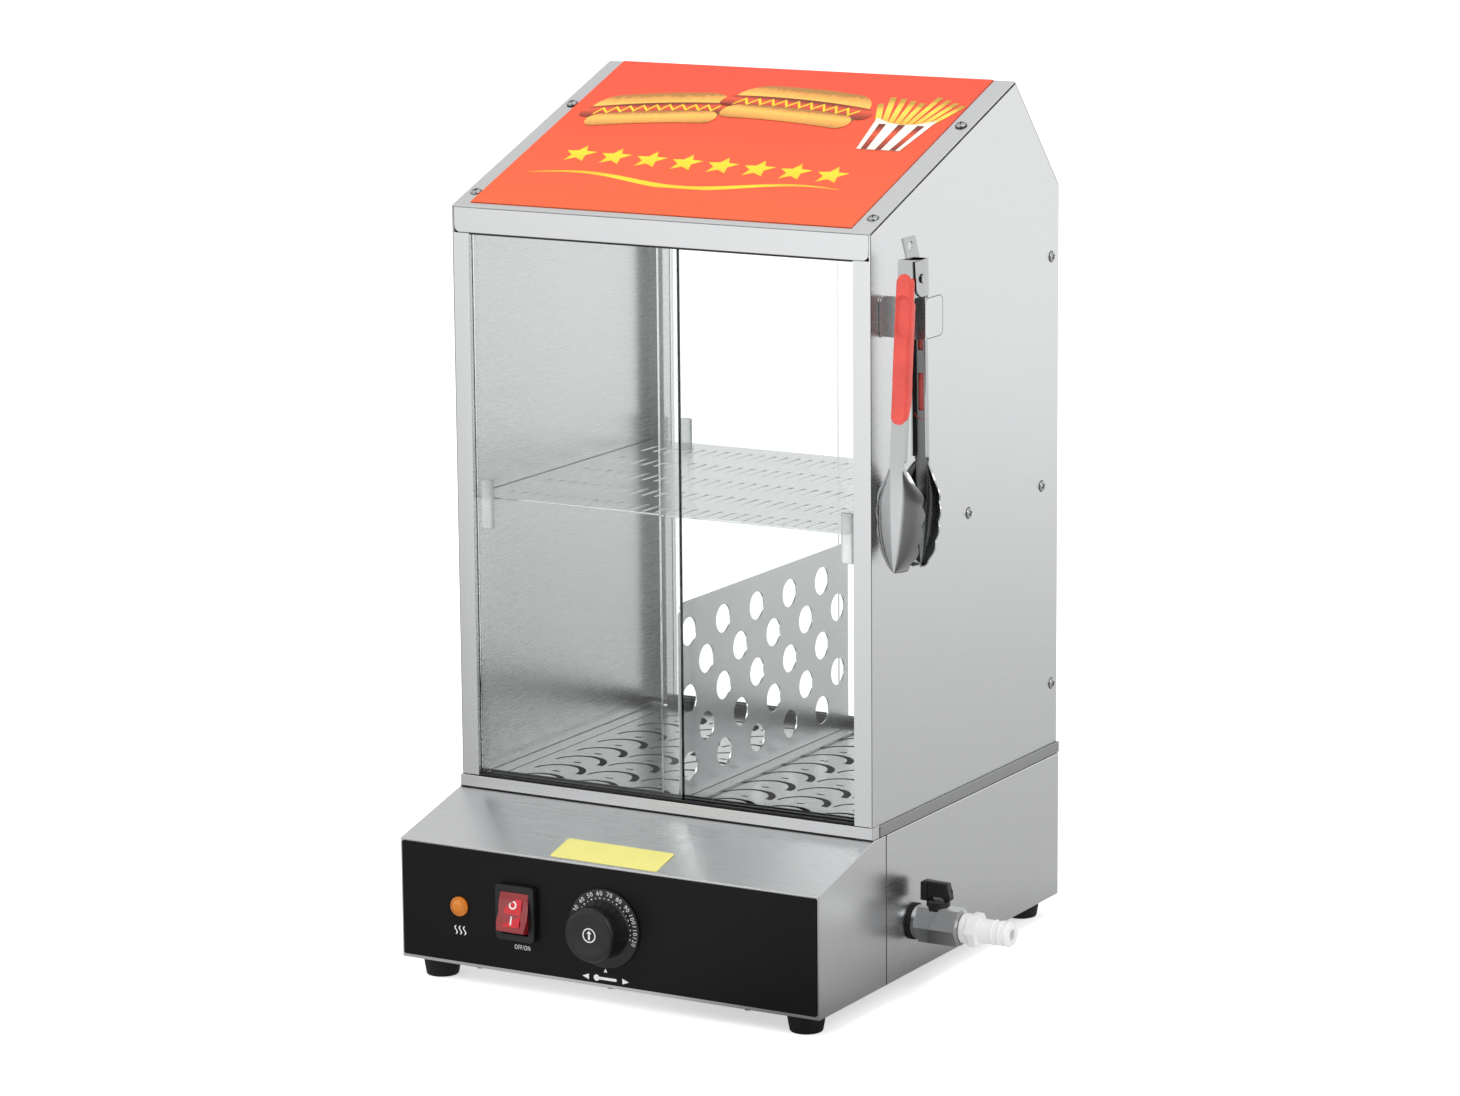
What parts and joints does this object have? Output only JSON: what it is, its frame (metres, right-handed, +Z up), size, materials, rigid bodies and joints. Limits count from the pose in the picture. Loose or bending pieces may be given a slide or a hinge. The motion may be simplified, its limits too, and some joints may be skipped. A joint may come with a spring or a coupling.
{
  "type": "hot dog steamer",
  "caption": "Countertop steam cabinet for hot dogs: sloping control base, glass sliding doors, bun shelf over perforated trays and a water tank, side drain valve and hanging tongs.",
  "frame": {"origin": "on the surface the feet stand on, under the middle of the whole object's box", "axes": "+X to the right seen from the front, +Y to the back, +Z up; the doors and controls face -Y"},
  "size_m": [0.398, 0.3904, 0.5995],
  "materials": {
    "sheet_steel": "fine brushed stainless steel",
    "clear_glass": "clear, polished edges",
    "clear_plastic": "clear moulded plastic",
    "black_plastic": "moulded, slightly satin",
    "overlay_film": "satin black polyester film",
    "red_plastic": "translucent red, glossy",
    "amber_lens": "translucent amber, glossy",
    "yellow_sticker": "coated paper, satin",
    "poster_film": "printed film, glossy",
    "black_rubber": "matte",
    "chrome_plate": "nickel-chrome plated, polished",
    "white_nylon": "natural white nylon",
    "coral_grip": "satin coral plastic",
    "heater_sheath": "dull drawn sheath",
    "terminal_plastic": "pale heat-proof moulding",
    "copper": "drawn copper"
  },
  "bodies": {
    "cabinet": {"control_housing": "sheet_steel", "base_body": "sheet_steel", "bottom_plate": "sheet_steel", "foot_front_left": "black_rubber", "foot_front_right": "black_rubber", "foot_rear_left": "black_rubber", "foot_rear_right": "black_rubber", "control_overlay": "overlay_film", "info_sticker": "yellow_sticker", "indicator_lens": "amber_lens", "switch_bezel": "black_plastic", "thermostat_body": "sheet_steel", "water_tank": "sheet_steel", "heating_element": "heater_sheath", "terminal_block": "terminal_plastic", "thermostat_bulb": "copper", "cable_gland": "black_plastic", "drain_spout": "sheet_steel", "valve_gasket": "black_rubber", "valve_body": "chrome_plate", "hose_barb": "white_nylon", "left_side_panel": "sheet_steel", "right_side_panel": "sheet_steel", "front_sill": "sheet_steel", "side_rim": "sheet_steel", "front_header": "sheet_steel", "roof_panel_front": "sheet_steel", "roof_panel_rear": "sheet_steel", "roof_poster": "poster_film", "front_lower_track": "black_plastic", "front_upper_track": "black_plastic", "rear_lower_track": "black_plastic", "rear_upper_track": "black_plastic", "left_shelf_rail": "sheet_steel", "right_shelf_rail": "sheet_steel", "deck_frame": "sheet_steel", "tong_bracket": "sheet_steel"},
    "front_left_door": {"front_left_door_glass": "clear_glass", "front_left_door_pull": "clear_plastic"},
    "front_right_door": {"front_right_door_glass": "clear_glass", "front_right_door_pull": "clear_plastic"},
    "rear_left_door": {"rear_left_door_glass": "clear_glass", "rear_left_door_pull": "clear_plastic"},
    "rear_right_door": {"rear_right_door_glass": "clear_glass", "rear_right_door_pull": "clear_plastic"},
    "rocker": {"switch_rocker": "red_plastic"},
    "dial": {"thermostat_knob": "black_plastic", "thermostat_shaft": "sheet_steel"},
    "drain_lever": {"valve_handle": "black_plastic", "valve_ball": "chrome_plate"},
    "shelf": {"bun_shelf": "sheet_steel"},
    "left_tray": {"left_food_tray": "sheet_steel"},
    "right_tray": {"right_food_tray": "sheet_steel"},
    "divider": {"tray_divider": "sheet_steel"},
    "tongs": {"tong_front_arm": "sheet_steel", "tong_front_grip": "coral_grip", "tong_pin": "sheet_steel"},
    "tong_rear": {"tong_rear_arm": "sheet_steel", "tong_rear_grip": "coral_grip"},
    "tong_tab": {"tong_pull_tab": "sheet_steel"}
  },
  "joints": [
    {"name": "front_left_door_slide", "type": "slide", "parent": "cabinet", "child": "front_left_door", "axis": [1, 0, 0], "range_m": [0, 0.133]},
    {"name": "front_right_door_slide", "type": "slide", "parent": "cabinet", "child": "front_right_door", "axis": [-1, 0, 0], "range_m": [0, 0.14]},
    {"name": "rear_left_door_slide", "type": "slide", "parent": "cabinet", "child": "rear_left_door", "axis": [1, 0, 0], "range_m": [0, 0.133]},
    {"name": "rear_right_door_slide", "type": "slide", "parent": "cabinet", "child": "rear_right_door", "axis": [-1, 0, 0], "range_m": [0, 0.14]},
    {"name": "rocker_tilt", "type": "hinge", "parent": "cabinet", "child": "rocker", "pos_m": [-0.105, -0.17655, 0.0575], "axis": [1, 0, 0], "range_deg": [0, 28]},
    {"name": "dial_turn", "type": "hinge", "parent": "cabinet", "child": "dial", "pos_m": [-0.037, -0.17305, 0.0554], "axis": [0, 1, 0], "range_deg": [0, 270]},
    {"name": "drain_lever_turn", "type": "hinge", "parent": "cabinet", "child": "drain_lever", "pos_m": [0.1435, -0.03955, 0.0488], "axis": [0, 0, 1], "range_deg": [0, 90]},
    {"name": "shelf_lift", "type": "slide", "parent": "cabinet", "child": "shelf", "axis": [0, 0, 1], "range_m": [0, 0.03]},
    {"name": "left_tray_lift", "type": "slide", "parent": "cabinet", "child": "left_tray", "axis": [0, 0, 1], "range_m": [0, 0.025]},
    {"name": "right_tray_lift", "type": "slide", "parent": "cabinet", "child": "right_tray", "axis": [0, 0, 1], "range_m": [0, 0.025]},
    {"name": "divider_lift", "type": "slide", "parent": "right_tray", "child": "divider", "axis": [0, 0, 1], "range_m": [0, 0.025]},
    {"name": "tongs_lift", "type": "slide", "parent": "cabinet", "child": "tongs", "axis": [0, 0, 1], "range_m": [0, 0.06]},
    {"name": "tong_hinge", "type": "hinge", "parent": "tongs", "child": "tong_rear", "pos_m": [0.1436, -0.07555, 0.491], "axis": [1, 0, 0], "range_deg": [-3, 3], "stiffness_Nm_per_rad": 0.6},
    {"name": "tong_tab_slide", "type": "slide", "parent": "tongs", "child": "tong_tab", "axis": [0, 0, 1], "range_m": [0, 0.008]}
  ]
}
